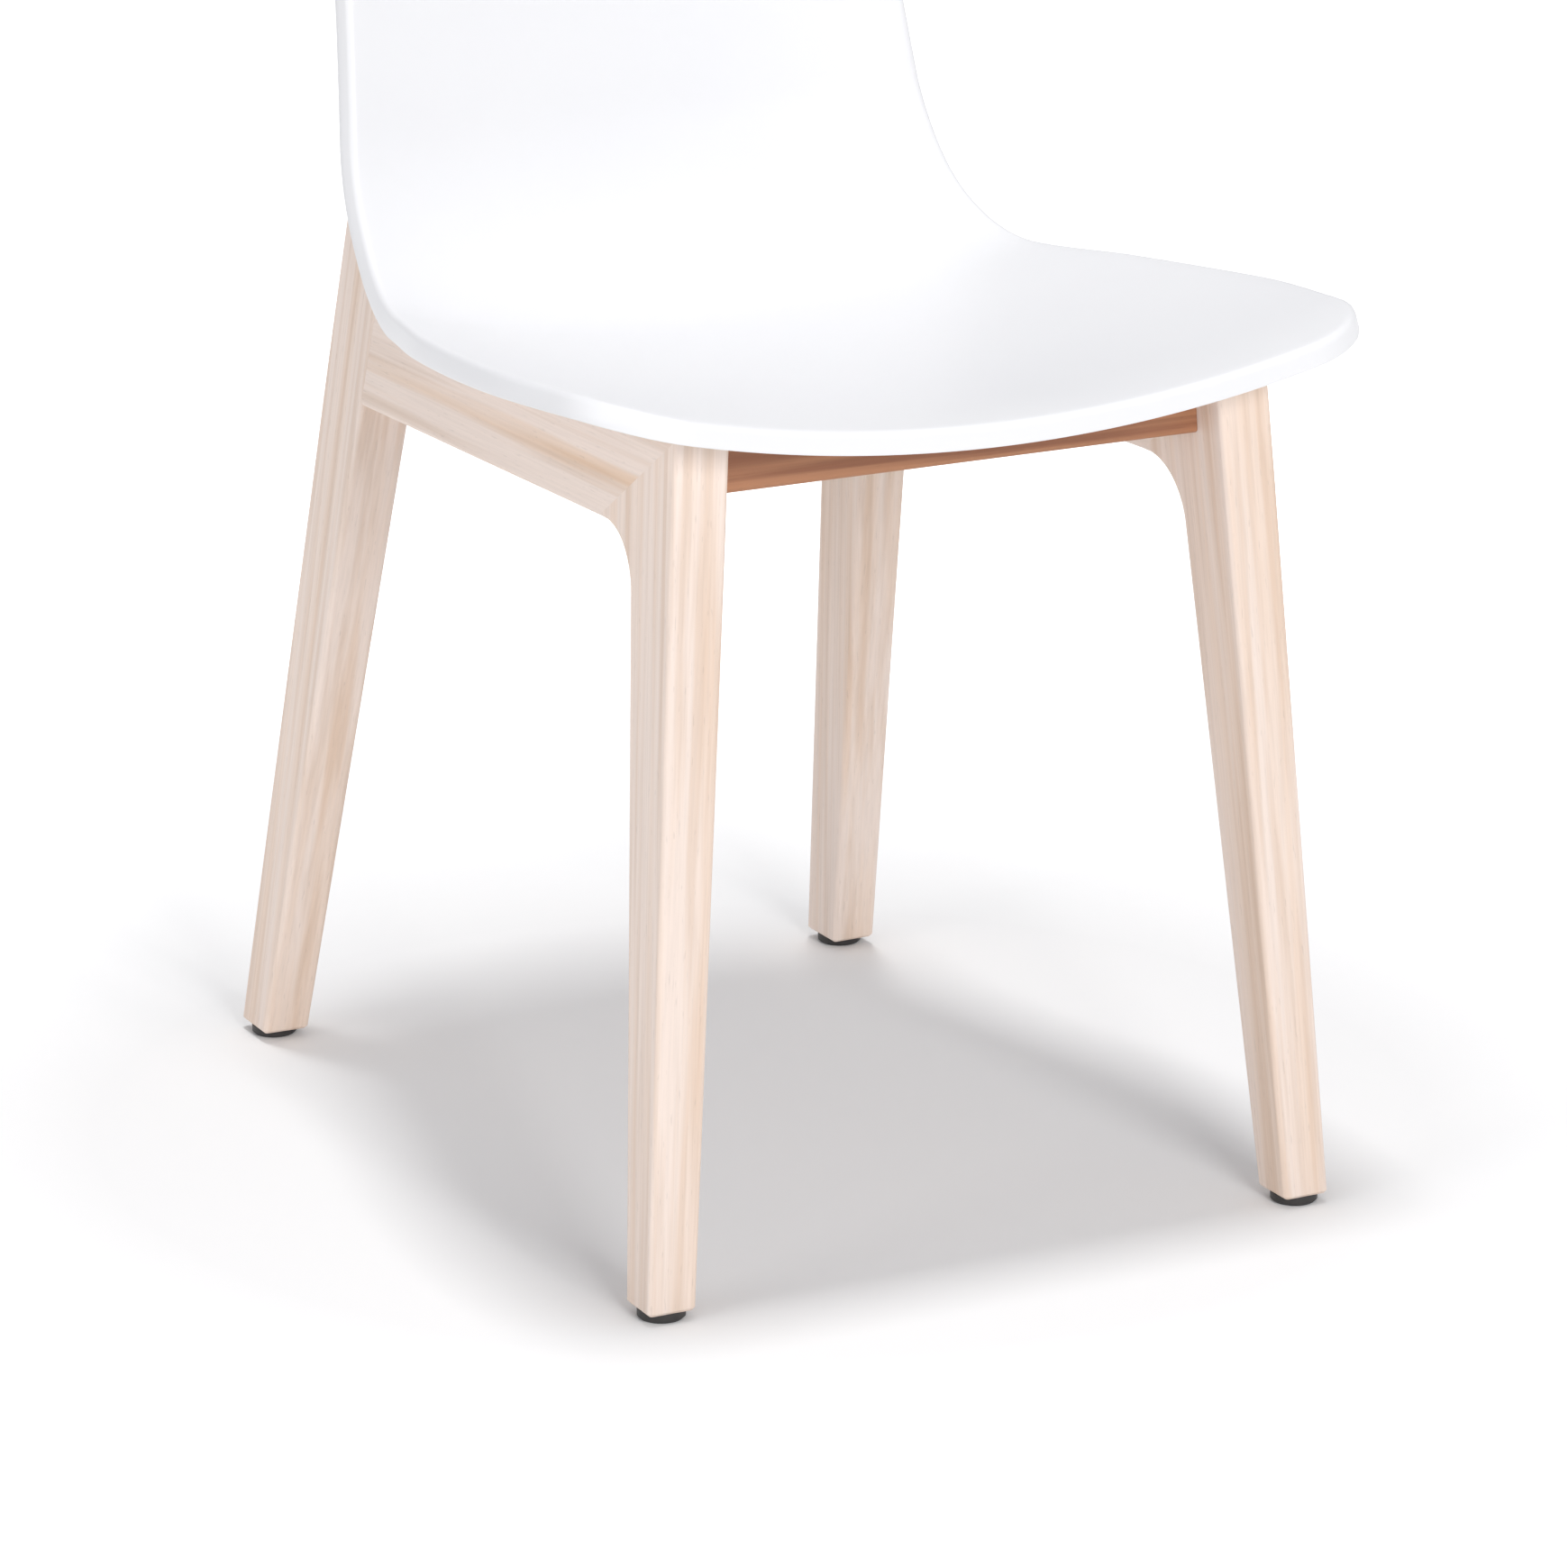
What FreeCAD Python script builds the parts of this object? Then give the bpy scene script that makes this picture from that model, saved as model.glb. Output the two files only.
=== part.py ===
"""A dining chair: a one-piece moulded plastic shell on a doweled wooden frame.

Millimetres. +Z is up and the floor is z = 0. The chair faces -Y and is
symmetric about X = 0. The left side, seen from the front, is on -X.
"""
import FreeCAD, Part
import math
import os
import re

import Sketcher
from FreeCAD import Placement, Rotation, Vector

os.makedirs("parts", exist_ok=True)
doc = FreeCAD.newDocument("ShellChair")

# Driving dimensions: alias, value, meaning
SIZES = [
    # The side frames are drawn flat, in a plane that splays and toes in.
    ("frame_half", 176.8, "from X = 0 to the middle of a side frame, at the floor"),
    ("splay_angle", 4.15, "lean of a side frame towards the middle of the chair, in degrees"),
    ("toe_angle", 0.72, "turn of a side frame towards the middle at the back, in degrees"),
    ("wood_thick", 29.2, "thickness of the side frames at the rail"),
    ("foot_thick", 25.8, "thickness of a leg at the floor"),
    ("edge_round", 3.0, "rounding of the long edges of the legs"),
    ("foot_bevel", 1.5, "bevel around the end of a leg"),
    ("rail_round", 3.0, "rounding of the lower edges of rails and aprons"),
    # Front leg
    ("front_foot_y", -252.0, "front face of the front leg at the floor"),
    ("front_foot_deep", 26.8, "depth of the front leg at the floor"),
    ("front_head_y", -225.0, "front face of the front leg at its head"),
    ("front_head_deep", 49.6, "depth of the front leg at its head"),
    ("front_head_top", 433.0, "height of the head of the front leg"),
    ("haunch_round", 33.0, "inner rounding between front leg and rail"),
    ("mitre_y", -147.0, "lower end of the mitre between front leg and rail"),
    # Rear leg
    ("rear_foot_y", 259.2, "rear face of the rear leg at the floor"),
    ("rear_foot_deep", 32.2, "depth of the rear leg at the floor"),
    ("rear_head_y", 166.2, "rear face of the rear leg at its head"),
    ("rear_joint_turn", 42.4, "where the rear joint meets the top edge, in degrees of the bend"),
    ("rear_head_turn", 59.4, "where the head of the rear leg ends, in degrees of the bend"),
    # Rail
    ("rail_bottom", 378.5, "underside of the side rails, at the front leg"),
    ("rail_rear_bottom", 370.5, "underside of the side rails, at the rear leg"),
    ("rail_sweep", 2400.0, "radius of the slow curve along the top of a rail"),
    ("frame_rise", 14.0, "top of the side frames above the middle line of the shell"),
    # Shell: its outer face is drawn as a chain of arcs in the middle plane
    ("shell_front_y", -258.0, "front edge of the shell"),
    ("shell_front_z", 419.0, "height of the front edge in the middle"),
    ("lip_turn", 0.0, "upward slope of the outer face at the front edge, in degrees"),
    ("seat_turn", 5.2, "downward slope of the outer face behind the front roll, in degrees"),
    ("roll_radius", 518.0, "radius of the roll at the front of the seat"),
    ("seat_radius", 2770.0, "radius of the slow hollow of the seat"),
    ("bend_radius", 131.0, "radius of the bend between seat and back"),
    ("bend_angle", 78.0, "slope of the back above the bend, in degrees"),
    ("back_radius", 3600.0, "radius of the slow rearward curve of the back"),
    ("back_length", 322.0, "length of the back above the bend"),
    ("dish_radius", 764.0, "radius of the hollow across seat and back, outer face"),
    ("lip_deep", 12.0, "depth of the turned edge of the shell"),
    ("wall_thick", 5.5, "wall thickness of the shell"),
    ("lip_thick", 5.5, "thickness of the turned edge"),
    ("seat_corner", 46.0, "corner radius of the seat"),
    ("back_corner", 55.0, "corner radius of the top of the back"),
    ("back_crown", 700.0, "radius of the top edge of the back"),
    ("lip_round", 3.6, "rounding of the edge of the shell, on the sitter's side"),
    # Fixings of the shell
    ("boss_x", 116.0, "shell screws, from the middle plane"),
    ("boss_front_y", -164.0, "front shell screws"),
    ("boss_rear_y", 82.0, "rear shell screws"),
    ("boss_round", 11.0, "radius of the bosses"),
    ("rib_thick", 3.0, "thickness of the ribs between the bosses"),
    ("rib_rise", 1.5, "lower edge of the ribs, above the edge of the shell"),
    ("insert_radius", 4.3, "radius of the threaded inserts"),
    ("insert_long", 10.0, "length of the threaded inserts"),
    ("insert_bore", 11.0, "depth of their bores in the bosses"),
    ("screw_radius", 3.0, "shank radius of the shell screws"),
    ("screw_head", 6.0, "head radius of the shell screws"),
    ("screw_head_high", 4.0, "height of the heads of the shell screws"),
    ("washer_radius", 8.0, "radius of the washers"),
    ("washer_thick", 1.6, "thickness of the washers"),
    # Aprons and corner blocks
    ("apron_thick", 22.0, "thickness of the aprons"),
    ("front_apron_y", -204.0, "front face of the front apron"),
    ("front_apron_low", 397.5, "underside of the front apron"),
    ("front_apron_top", 418.0, "top of the front apron in the middle"),
    ("rear_apron_y", 100.0, "front face of the rear apron"),
    ("rear_apron_low", 386.0, "underside of the rear apron"),
    ("rear_apron_top", 420.0, "top of the rear apron in the middle"),
    ("block_side", 60.0, "glued sides of a corner block"),
    ("block_front_low", 397.5, "underside of the front corner blocks"),
    ("block_front_top", 414.5, "top of the front corner blocks"),
    ("block_rear_low", 390.0, "underside of the rear corner blocks"),
    ("block_rear_top", 408.0, "top of the rear corner blocks"),
    ("apron_end_rise", 11.5, "rise of the hollow top of an apron from its middle to its ends"),
    ("block_nose", 6.0, "thickness of a corner block at its tips"),
    ("block_screw_radius", 2.0, "shank radius of the block screws"),
    ("block_screw_head", 3.8, "head radius of the block screws"),
    ("block_screw_long", 32.0, "length of the block screws"),
    ("block_screw_in", 18.0, "from the glued side of a block to the head of its screw"),
    # Dowels
    ("dowel_radius", 4.0, "radius of all dowels"),
    ("dowel_bevel", 1.0, "bevel at the ends of the dowels"),
    ("frame_dowel_long", 40.0, "length of the dowels of the side frames"),
    ("front_dowel_low", 394.0, "lower dowel of a mitre"),
    ("front_dowel_high", 412.0, "upper dowel of a mitre"),
    ("rear_dowel_low", 388.0, "lower dowel of a rear joint"),
    ("rear_dowel_high", 428.0, "upper dowel of a rear joint"),
    ("apron_dowel_long", 34.0, "length of the dowels of the aprons"),
    ("apron_dowel_in", 14.0, "depth of those dowels in the side frames"),
    ("front_apron_dowel_low", 403.0, "lower dowels of the front apron"),
    ("front_apron_dowel_high", 421.0, "upper dowels of the front apron"),
    ("rear_apron_dowel_low", 398.0, "lower dowels of the rear apron"),
    ("rear_apron_dowel_high", 412.0, "upper dowels of the rear apron"),
    # Glides
    ("glide_radius", 12.0, "radius of the glides"),
    ("glide_high", 5.0, "height of the glides, and of the feet above the floor"),
    ("glide_bevel", 1.2, "bevel around the sole of a glide"),
    ("nail_radius", 1.5, "radius of the glide nails"),
    ("nail_long", 20.0, "length of the glide nails"),
    ("nail_head", 3.5, "head radius of the glide nails"),
    ("nail_head_thick", 1.0, "thickness of the heads of the glide nails"),
    ("nail_recess", 1.6, "depth of the recess for the head of a nail"),
]

sheet = doc.addObject("Spreadsheet::Sheet", "Sizes")
for row, (alias, value, meaning) in enumerate(SIZES, start=1):
    sheet.set(f"A{row}", alias)
    sheet.set(f"B{row}", str(value))
    sheet.set(f"C{row}", meaning)
    sheet.setAlias(f"B{row}", alias)
doc.recompute()

ALIASES = {alias for alias, _, _ in SIZES}
SIDES = (("left", -1), ("right", 1))
ENDS = ("front", "rear")
THROUGH = "1200"  # depth of a cut right through the chair
sub_parts = []


def size(alias):
    """The value of a driving dimension."""
    return float(sheet.get(alias))


def linked(text):
    """The expression text with each alias pointed at the sheet."""
    return re.sub(r"[a-z_]+", lambda word: "Sizes." + word[0] if word[0] in ALIASES else word[0], text)


def worked_out(text):
    """The number that an expression gives."""
    return float(sheet.evalExpression(linked(text).replace("Sizes.", "")))


def origin_plane(body, role):
    """One of the body's own origin planes."""
    return next(feature for feature in body.Origin.OriginFeatures if feature.Role == role)


def outline_sketch(body, name, role, corners, arcs=None, offset=None):
    """A closed outline on an origin plane.

    Each corner is a pair of expressions. arcs maps the number of a corner to the
    radius and the rough centre of the arc that leads from it to the next corner.
    """
    sketch = body.newObject("Sketcher::SketchObject", name)
    sketch.AttachmentSupport = [(origin_plane(body, role), "")]
    sketch.MapMode = "FlatFace"
    if offset:
        sketch.setExpression("AttachmentOffset.Base.z", linked(offset))
    points = [Vector(worked_out(x), worked_out(y), 0) for x, y in corners]
    arcs = arcs or {}
    for number, start in enumerate(points):
        end = points[(number + 1) % len(points)]
        if number in arcs:
            radius, centre = arcs[number]
            middle = start.add(end).multiply(0.5).sub(Vector(centre[0], centre[1], 0)).normalize()
            half_chord = start.distanceToPoint(end) / 2
            sagitta = worked_out(radius) - math.sqrt(worked_out(radius) ** 2 - half_chord ** 2)
            top = start.add(end).multiply(0.5).add(middle.multiply(sagitta))
            sketch.addGeometry(Part.Arc(start, top, end), False)
        else:
            sketch.addGeometry(Part.LineSegment(start, end), False)
    ends = []
    for number, start in enumerate(points):
        geometry = sketch.Geometry[number]
        turned = number in arcs and geometry.StartPoint.distanceToPoint(start) > 1e-4
        ends.append((2, 1) if turned else (1, 2))
    for number, (x, y) in enumerate(corners):
        following = (number + 1) % len(corners)
        join(sketch, number, ends[number][1], following, ends[following][0])
        bind_point(sketch, number, ends[number][0], x, y)
    for number, (radius, _) in arcs.items():
        constraint = sketch.addConstraint(Sketcher.Constraint("Radius", number, worked_out(radius)))
        sketch.renameConstraint(constraint, f"radius{number}")
        sketch.setExpression(f"Constraints.radius{number}", linked(radius))
    return sketch


def join(sketch, first, first_end, second, second_end):
    """Make two ends of the outline meet."""
    sketch.addConstraint(Sketcher.Constraint("Coincident", first, first_end, second, second_end))


def bind_point(sketch, number, end, x, y):
    """Hold one end of a line of the outline at two expressions."""
    for kind, text in (("DistanceX", x), ("DistanceY", y)):
        constraint = sketch.addConstraint(Sketcher.Constraint(kind, -1, 1, number, end, worked_out(text)))
        name = f"{kind}{number}"
        sketch.renameConstraint(constraint, name)
        sketch.setExpression(f"Constraints.{name}", linked(text))


def new_body(label, placement=None):
    """An empty body with the name of its sub-part."""
    body = doc.addObject("PartDesign::Body", label)
    body.Label = label
    if placement:
        body.Placement = placement
    sub_parts.append(body)
    return body


def pad(body, sketch, length, both_ways=False, backwards=False):
    """Thicken an outline."""
    feature = body.newObject("PartDesign::Pad", "Pad")
    feature.Profile = sketch
    feature.SideType = "Symmetric" if both_ways else "One side"
    feature.Reversed = backwards
    feature.setExpression("Length", linked(length))
    return feature


def pocket(body, sketch, length):
    """Cut an outline out of the body, on both sides of its plane."""
    doc.recompute()
    before = body.Shape.Volume
    feature = body.newObject("PartDesign::Pocket", "Pocket")
    feature.Profile = sketch
    feature.SideType = "Symmetric"
    feature.setExpression("Length", linked(length))
    doc.recompute()
    if not body.Shape.Volume < before:
        raise RuntimeError(f"{sketch.Name} cuts nothing")
    return feature


def round_edges(body, wanted, radius, kind="PartDesign::Fillet", value="Radius"):
    """Round or bevel the edges of the body's tip that the test picks."""
    doc.recompute()
    tip = body.Tip
    names = [f"Edge{number}" for number, edge in enumerate(tip.Shape.Edges, start=1) if wanted(edge)]
    feature = body.newObject(kind, "Edges")
    feature.Base = (tip, names)
    feature.setExpression(value, linked(radius))
    doc.recompute()
    return feature


def drill(body, radius, length, base, turn):
    """A round hole from a point, along Z turned by the rotation."""
    hole = body.newObject("PartDesign::SubtractiveCylinder", "Bore")
    hole.Placement = Placement(base, turn)
    hole.setExpression("Radius", linked(radius))
    hole.setExpression("Height", linked(length))
    return hole


def primitive(kind, placement, **sizes):
    """A basic solid whose sizes come from the sheet."""
    solid = doc.addObject(f"Part::{kind}", kind)
    solid.Placement = placement
    for name, text in sizes.items():
        solid.setExpression(name, linked(text))
    return solid


def fused(first, second):
    """Two solids made one."""
    solid = doc.addObject("Part::Fuse", "Fuse")
    solid.Base = first
    solid.Tool = second
    return solid


def cut(first, second):
    """One solid less another."""
    solid = doc.addObject("Part::Cut", "Cut")
    solid.Base = first
    solid.Tool = second
    return solid


def group(label, solids):
    """A sub-part made of several alike, separate solids."""
    compound = doc.addObject("Part::Compound", label)
    compound.Label = label
    compound.Links = solids
    sub_parts.append(compound)
    return compound


def pointing(direction):
    """The turn that takes +Z to a direction."""
    return Rotation(Vector(0, 0, 1), direction)


ALONG_Y = pointing(Vector(0, 1, 0))
ALONG_Z = Rotation()

# Side frames: everything below is drawn in the plane of one side frame, with
# its first axis running back and its second axis running up.

BEND_Y = "(shell_front_y + roll_radius*(sin(lip_turn) + sin(seat_turn)) + seat_radius*sin(seat_turn))"
BEND_Z = ("(shell_front_z + roll_radius*(cos(lip_turn)*-1 + cos(seat_turn)) "
          "- seat_radius*(1 - cos(seat_turn)) + bend_radius)")
RAIL_TOP = "(bend_radius - frame_rise)"


def frame_placement(sign):
    """Where the plane of a side frame stands."""
    turn = Rotation(size("toe_angle") * sign, -size("splay_angle") * sign, 0)
    return Placement(Vector(sign * size("frame_half"), 0, 0), turn)


def on_bend(turn):
    """A point of the arc along the top of the side frame, as two expressions."""
    return (f"{BEND_Y} + {RAIL_TOP}*sin({turn})", f"{BEND_Z} - {RAIL_TOP}*cos({turn})")


FRONT_HEAD = ("front_head_y", "front_head_top")
MITRE_FOOT = ("mitre_y", "rail_bottom")
REAR_JOINT_TOP = on_bend("rear_joint_turn")
REAR_FACE_SLOPE = f"(({REAR_JOINT_TOP[0]}) - rear_foot_y + rear_foot_deep)/({REAR_JOINT_TOP[1]})"
REAR_JOINT_FOOT = (f"rear_foot_y - rear_foot_deep + {REAR_FACE_SLOPE}*rail_rear_bottom", "rail_rear_bottom")
HAUNCH_Y = ("front_foot_y + front_foot_deep + (front_head_y + front_head_deep - front_foot_y "
            "- front_foot_deep)*rail_bottom/front_head_top")


def bend_centre():
    """The centre of the bend, in the plane of a side frame."""
    return worked_out(BEND_Y), worked_out(BEND_Z)


def trim_leg(body, sign):
    """Taper the leg towards the foot, and cut the foot level with the floor."""
    reach = 30
    for side in (-1, 1):
        sketch = outline_sketch(body, "Taper", "XZ_Plane", [
            (f"{side}*wood_thick/2", "rail_bottom"),
            (f"{side}*foot_thick/2", "0"),
            (f"{side}*foot_thick/2", f"-{reach}"),
            (f"{side}*{reach}", f"-{reach}"),
            (f"{side}*{reach}", "rail_bottom")])
        pocket(body, sketch, THROUGH)
    level = f"(glide_high + {sign}*{{0}}*sin(splay_angle))/cos(splay_angle)"
    sketch = outline_sketch(body, "FootCut", "XZ_Plane", [
        (f"-{reach}", level.format(reach)),
        (f"{reach}", level.format(-reach)),
        (f"{reach}", f"-{reach}"),
        (f"-{reach}", f"-{reach}")])
    pocket(body, sketch, THROUGH)


def is_long_edge(edge):
    """Whether an edge runs along a leg."""
    first, last = edge.Vertexes[0].Point, edge.Vertexes[-1].Point
    return abs(first.z - last.z) > 150


def is_foot_edge(edge):
    """Whether an edge lies around the sole of the foot."""
    return all(vertex.Point.z < size("glide_high") + 4 for vertex in edge.Vertexes)


def is_rail_edge(edge):
    """Whether an edge runs along the underside of a rail."""
    heights = [vertex.Point.z for vertex in edge.Vertexes]
    return edge.Length > 60 and max(heights) < size("rail_bottom") + 1


def front_leg(label, sign):
    """A front leg: tapered, with a rounded haunch and a mitred head."""
    body = new_body(label, frame_placement(sign))
    corners = [
        ("front_foot_y", "0"),
        FRONT_HEAD,
        MITRE_FOOT,
        (HAUNCH_Y, "rail_bottom"),
        ("front_foot_y + front_foot_deep", "0")]
    pad(body, outline_sketch(body, "Outline", "YZ_Plane", corners), "wood_thick", both_ways=True)
    haunch_y = worked_out(HAUNCH_Y)
    round_edges(body, lambda edge: edge.Length < 40 and all(
        abs(vertex.Point.y - haunch_y) < 1 for vertex in edge.Vertexes), "haunch_round")
    trim_leg(body, sign)
    round_edges(body, is_long_edge, "edge_round")
    round_edges(body, is_foot_edge, "foot_bevel", "PartDesign::Chamfer", "Size")
    bore_frame(body, "front")
    bore_apron(body, sign, "front")
    bore_nail(body, sign, "front")
    return body


def rear_leg(label, sign):
    """A rear leg: it leans back and follows the bend of the shell at its head."""
    body = new_body(label, frame_placement(sign))
    head = on_bend("rear_head_turn")
    corners = [
        ("rear_foot_y - rear_foot_deep", "0"),
        REAR_JOINT_TOP,
        head,
        ("rear_head_y", head[1]),
        ("rear_foot_y", "0")]
    arcs = {1: (RAIL_TOP, bend_centre())}
    pad(body, outline_sketch(body, "Outline", "YZ_Plane", corners, arcs), "wood_thick", both_ways=True)
    trim_leg(body, sign)
    round_edges(body, is_long_edge, "edge_round")
    round_edges(body, is_foot_edge, "foot_bevel", "PartDesign::Chamfer", "Size")
    bore_frame(body, "rear")
    bore_nail(body, sign, "rear")
    return body


def side_rail(label, sign):
    """A side rail: mitred in front, with a top that follows the shell."""
    body = new_body(label, frame_placement(sign))
    centre = bend_centre()
    corners = [
        MITRE_FOOT,
        FRONT_HEAD,
        (BEND_Y, f"{BEND_Z} - {RAIL_TOP}"),
        REAR_JOINT_TOP,
        REAR_JOINT_FOOT]
    arcs = {
        1: ("rail_sweep", (centre[0], size("rail_sweep"))),
        2: (RAIL_TOP, centre)}
    pad(body, outline_sketch(body, "Outline", "YZ_Plane", corners, arcs), "wood_thick", both_ways=True)
    round_edges(body, is_rail_edge, "rail_round")
    for end in ENDS:
        bore_frame(body, end)
        bore_apron(body, sign, end)
        start, direction = block_screws_of(sign, end)[0]
        bore_across(body, "block_screw_radius", "block_screw_long", start, direction)
    return body


def frame_dowel_starts(end):
    """Where the dowels of a frame joint begin, in the plane of the frame."""
    half = size("frame_dowel_long") / 2
    starts = []
    for height in (size(f"{end}_dowel_low"), size(f"{end}_dowel_high")):
        if end == "front":
            run = size("front_head_y") - size("mitre_y")
            rise = size("front_head_top") - size("rail_bottom")
            joint = size("mitre_y") + run * (height - size("rail_bottom")) / rise
        else:
            joint = size("rear_foot_y") - size("rear_foot_deep") + worked_out(REAR_FACE_SLOPE) * height
        starts.append(Vector(0, joint - half, height))
    return starts


def bore_frame(body, end):
    """Holes for the dowels of a frame joint."""
    for start in frame_dowel_starts(end):
        drill(body, "dowel_radius", "frame_dowel_long", start, ALONG_Y)


def bore_across(body, radius, length, start, direction):
    """A hole whose start and direction are given in the chair's own axes."""
    place = body.Placement.inverse().multiply(Placement(start, pointing(direction)))
    drill(body, radius, length, place.Base, place.Rotation)


def apron_middle(end):
    """The middle of an apron's thickness."""
    return size(f"{end}_apron_y") + size("apron_thick") / 2


def inner_face(height, y):
    """Distance of the inner face of a side frame from the middle plane."""
    lean = math.radians(size("splay_angle"))
    toe = math.radians(size("toe_angle"))
    middle = size("frame_half") - y * math.tan(toe) - height * math.tan(lean)
    return middle - size("wood_thick") / 2 / math.cos(lean)


def apron_dowel_starts(sign, end):
    """Where the dowels of an apron begin, inside a side frame."""
    starts = []
    for height in (size(f"{end}_apron_dowel_low"), size(f"{end}_apron_dowel_high")):
        reach = inner_face(height, apron_middle(end)) + size("apron_dowel_in")
        starts.append(Vector(sign * reach, apron_middle(end), height))
    return starts


def bore_apron(body, sign, end):
    """Holes in a side frame for the dowels of an apron."""
    for start in apron_dowel_starts(sign, end):
        bore_across(body, "dowel_radius", "apron_dowel_long", start, Vector(-sign, 0, 0))


def glide_place(sign, end):
    """The middle of the sole of a glide, on the floor."""
    inwards = 1 if end == "front" else -1
    middle = size(f"{end}_foot_y") + inwards * size(f"{end}_foot_deep") / 2
    foot = frame_placement(sign).multVec(Vector(0, middle, size("glide_high")))
    return Vector(foot.x, foot.y, 0)


def bore_nail(body, sign, end):
    """The hole for the nail of a glide, up into the foot."""
    start = glide_place(sign, end) + Vector(0, 0, size("nail_recess"))
    bore_across(body, "nail_radius", "nail_long", start, Vector(0, 0, 1))


INNER_FACE = "(frame_half - ({y})*tan(toe_angle) - ({z})*tan(splay_angle) - wood_thick/2/cos(splay_angle))"


def apron(label, end):
    """An apron: its top edge is hollow like the shell, and its ends lean with the legs."""
    body = new_body(label)
    middle = f"({end}_apron_y + apron_thick/2)"
    low = f"{end}_apron_low"
    top = f"({end}_apron_top + apron_end_rise)"
    wide_low = INNER_FACE.format(y=middle, z=low)
    wide_top = INNER_FACE.format(y=middle, z=top)
    corners = [
        (f"-1*{wide_low}", low),
        (wide_low, low),
        (wide_top, top),
        (f"-1*{wide_top}", top)]
    sketch = outline_sketch(body, "Outline", "XZ_Plane", corners, offset=f"-1*{middle}")
    pad(body, sketch, "apron_thick", both_ways=True)
    low_value = size(low)
    round_edges(body, lambda edge: edge.Length > 200 and all(
        abs(vertex.Point.z - low_value) < 0.1 for vertex in edge.Vertexes), "rail_round")
    hollow = Vector(0, size(f"{end}_apron_y") - 1, size(f"{end}_apron_top") + size("dish_radius"))
    drill(body, "dish_radius", "apron_thick + 2", hollow, ALONG_Y)
    for _, sign in SIDES:
        bore_apron(body, sign, end)
        start, direction = block_screws_of(sign, end)[1]
        bore_across(body, "block_screw_radius", "block_screw_long", start, direction)
    return body


def block_corner(end):
    """The inner corner that a block fills: its Y, and the way it reaches along Y."""
    if end == "front":
        return "(front_apron_y + apron_thick)", 1
    return "rear_apron_y", -1


def block_screws_of(sign, end):
    """The two screws of a block: start and direction, in the chair's own axes."""
    corner_text, way = block_corner(end)
    corner_y = worked_out(corner_text)
    height = (size(f"block_{end}_low") + size(f"block_{end}_top")) / 2
    corner_x = inner_face(height, corner_y)
    inset = size("block_screw_in")
    to_rail = corner_y + way * (size("block_side") - inset)
    to_apron = corner_x - (size("block_side") - inset)
    return [
        (Vector(sign * (corner_x - inset), to_rail, height), Vector(sign, 0, 0)),
        (Vector(sign * to_apron, corner_y + way * inset, height), Vector(0, -way, 0))]


def corner_block(label, sign, end):
    """A three-sided block, cut to the lean of the side frame, with its screw holes."""
    body = new_body(label)
    corner_y, way = block_corner(end)
    low = f"block_{end}_low"
    top = f"block_{end}_top"
    wide_low = INNER_FACE.format(y=corner_y, z=low)
    wide_top = INNER_FACE.format(y=corner_y, z=top)
    corners = [
        (f"{sign}*{wide_low}", corner_y),
        (f"{sign}*({wide_low} - block_side)", corner_y),
        (f"{sign}*({wide_low} - block_side)", f"{corner_y} + {way}*block_nose"),
        (f"{sign}*({wide_low} - block_nose)", f"{corner_y} + {way}*block_side"),
        (f"{sign}*{wide_low}", f"{corner_y} + {way}*block_side")]
    sketch = outline_sketch(body, "Plan", "XY_Plane", corners, offset=low)
    pad(body, sketch, f"{top} - {low}")
    lean = [
        (f"{sign}*{wide_low}", low),
        (f"{sign}*{wide_top}", top),
        (f"{sign}*({wide_low} + 5)", top),
        (f"{sign}*({wide_low} + 5)", low)]
    pocket(body, outline_sketch(body, "Lean", "XZ_Plane", lean), THROUGH)
    for start, direction in block_screws_of(sign, end):
        bore_across(body, "block_screw_radius", "block_screw_long", start, direction)
        bore_across(body, "block_screw_head + 0.2", "block_screw_in", start, direction * -1)
    hole = Vector(sign * size("boss_x"), size(f"boss_{end}_y"), size(low) - 1)
    drill(body, "screw_radius + 0.5", f"{top} - {low} + 2", hole, ALONG_Z)
    return body


for side_name, side_sign in SIDES:
    front_leg(f"front_leg_{side_name}", side_sign)
    rear_leg(f"rear_leg_{side_name}", side_sign)
    side_rail(f"side_rail_{side_name}", side_sign)
for end_name in ENDS:
    apron(f"{end_name}_apron", end_name)
    for side_name, side_sign in SIDES:
        corner_block(f"corner_block_{end_name}_{side_name}", side_sign, end_name)


# Shell: a free form, lofted through arcs that stand square on the middle line
# of its outer face. A section may be moved inwards to give the inner face.

def shell_line():
    """The arcs of the middle line: length, radius (minus when it turns down), end slope."""
    lip, seat = size("lip_turn"), size("seat_turn")
    roll = size("roll_radius") * math.radians(lip + seat)
    hollow = size("seat_radius") * math.radians(seat)
    bend = size("bend_radius") * math.radians(size("bend_angle"))
    return [
        (roll, -size("roll_radius")),
        (hollow, size("seat_radius")),
        (bend, size("bend_radius")),
        (size("back_length"), -size("back_radius"))]


def on_shell_line(distance):
    """The point at a distance along the middle line, and the slope there in radians."""
    y, z = size("shell_front_y"), size("shell_front_z")
    slope = math.radians(size("lip_turn"))
    for number, (length, radius) in enumerate(shell_line()):
        last = number == 3
        run = distance if last else min(distance, length)
        turned = slope + run / radius
        y += radius * (math.sin(turned) - math.sin(slope))
        z -= radius * (math.cos(turned) - math.cos(slope))
        slope = turned
        distance -= run
        if distance <= 0 and not last:
            break
    return Vector(0, y, z), slope


SHELL_LENGTH = sum(length for length, _ in shell_line())

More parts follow.
